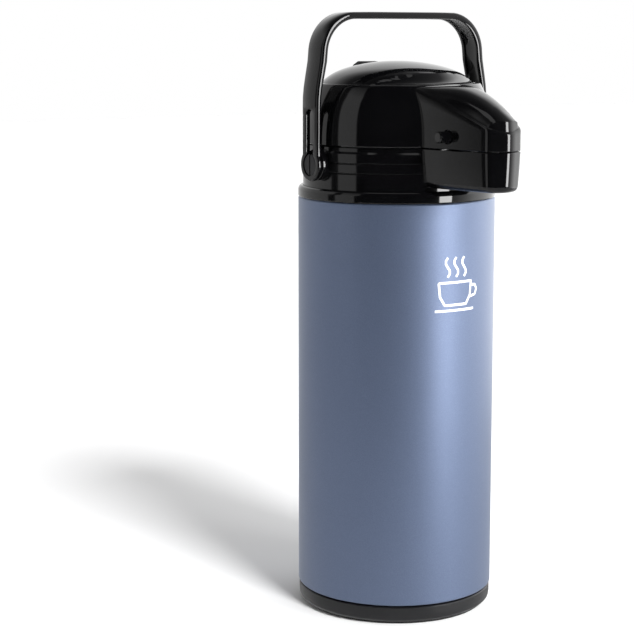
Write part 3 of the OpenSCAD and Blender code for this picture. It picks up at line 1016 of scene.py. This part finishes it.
def make_world():
    """Bright to the left, right and behind, dark overhead and on the camera's side.

    The camera itself sees plain white.
    """
    world = bpy.data.worlds.new("studio")
    bpy.context.scene.world = world
    world.use_nodes = True
    tree = world.node_tree
    tree.nodes.clear()
    where = tree.nodes.new("ShaderNodeTexCoord").outputs["Generated"]
    angle = tree.nodes.new("ShaderNodeMath")
    angle.operation = "ARCTAN2"
    tree.links.new(dot_node(tree, where, RIGHT_SIDE), angle.inputs[0])
    tree.links.new(dot_node(tree, where, CAMERA_SIDE), angle.inputs[1])
    round_about = ramp_node(tree, [(math.radians(a), v) for a, v in ROUND],
                            -math.pi, math.pi, angle.outputs[0])
    up = ramp_node(tree, UP, 0, 1, dot_node(tree, where, (0, 0, 1)))
    both = tree.nodes.new("ShaderNodeMix")
    both.data_type, both.blend_type = "RGBA", "MULTIPLY"
    both.inputs["Factor"].default_value = 1
    tree.links.new(round_about, both.inputs["A"])
    tree.links.new(up, both.inputs["B"])
    out = tree.nodes.new("ShaderNodeOutputWorld")
    seen = tree.nodes.new("ShaderNodeBackground")
    seen.inputs["Color"].default_value = (1, 1, 1, 1)
    lit = tree.nodes.new("ShaderNodeBackground")
    lit.inputs["Strength"].default_value = PEAK ** 2
    tree.links.new(both.outputs["Result"], lit.inputs["Color"])
    mix = tree.nodes.new("ShaderNodeMixShader")
    path = tree.nodes.new("ShaderNodeLightPath")
    tree.links.new(path.outputs["Is Camera Ray"], mix.inputs["Fac"])
    tree.links.new(lit.outputs[0], mix.inputs[1])
    tree.links.new(seen.outputs[0], mix.inputs[2])
    tree.links.new(mix.outputs[0], out.inputs["Surface"])


def light(name, kind, angle, elevation, reach, power):
    """A light at an angle to the right of the camera, aimed at the pot; metres."""
    lamp = bpy.data.lights.new(name, kind)
    lamp.energy = power
    obj = bpy.data.objects.new(name, lamp)
    bpy.context.collection.objects.link(obj)
    a, e = math.radians(angle), math.radians(elevation)
    out = (CAMERA_SIDE * math.cos(a) + RIGHT_SIDE * math.sin(a)) * math.cos(e)
    out.z = math.sin(e)
    obj.location = Vector((0, 0, 0.2)) + out * reach
    obj.rotation_mode = "QUATERNION"
    obj.rotation_quaternion = out.to_track_quat("Z", "Y")
    return obj


def make_lights():
    """A soft key for the shadow, a sky fill, a tall softbox and a dim overhead."""
    key = light("key_sun", "SUN", angle=33, elevation=38, reach=2, power=3.9)
    key.data.angle = math.radians(18)
    key.visible_glossy = False
    sky = light("fill_sky", "SUN", angle=60, elevation=84, reach=2, power=0.5)
    sky.data.angle = math.radians(130)
    sky.visible_glossy = False
    box = light("softbox", "AREA", angle=56, elevation=7, reach=1.6, power=19)
    box.data.shape, box.data.size, box.data.size_y = "RECTANGLE", 0.45, 1.05
    top = light("overhead", "AREA", angle=-10, elevation=80, reach=1.3, power=0.6)
    top.data.shape, top.data.size, top.data.size_y = "RECTANGLE", 0.9, 0.3


# The camera's place in metres, its turns in degrees and its lens in millimetres.
CAMERA_AT = (-0.679, -0.9299, 0.381)
CAMERA_DOWN = 8.07
CAMERA_YAW = -33.517
LENS = 98.8
SHIFT_Y = -0.06


def make_camera():
    """A long lens to the left of the spout and a little above it."""
    data = bpy.data.cameras.new("camera")
    camera = bpy.data.objects.new("camera", data)
    bpy.context.collection.objects.link(camera)
    camera.location = CAMERA_AT
    camera.rotation_euler = Euler((math.radians(90 - CAMERA_DOWN), 0,
                                   math.radians(CAMERA_YAW)))
    data.sensor_width, data.lens = 36.0, LENS
    data.shift_y = SHIFT_Y
    data.clip_start, data.clip_end = 0.05, 50
    bpy.context.scene.camera = camera
    bpy.context.scene.view_settings.view_transform = "Standard"


make_camera()
make_world()
make_lights()
make_floor()
make_shell()
make_collar()
make_shoulder()
make_tray()
make_emblem()
make_barrel()
make_hood()
make_dome()
make_lock()
make_button(-1, "left")
make_button(1, "right")
make_handle()
make_pivots()
make_base()
make_springs()
make_inside()
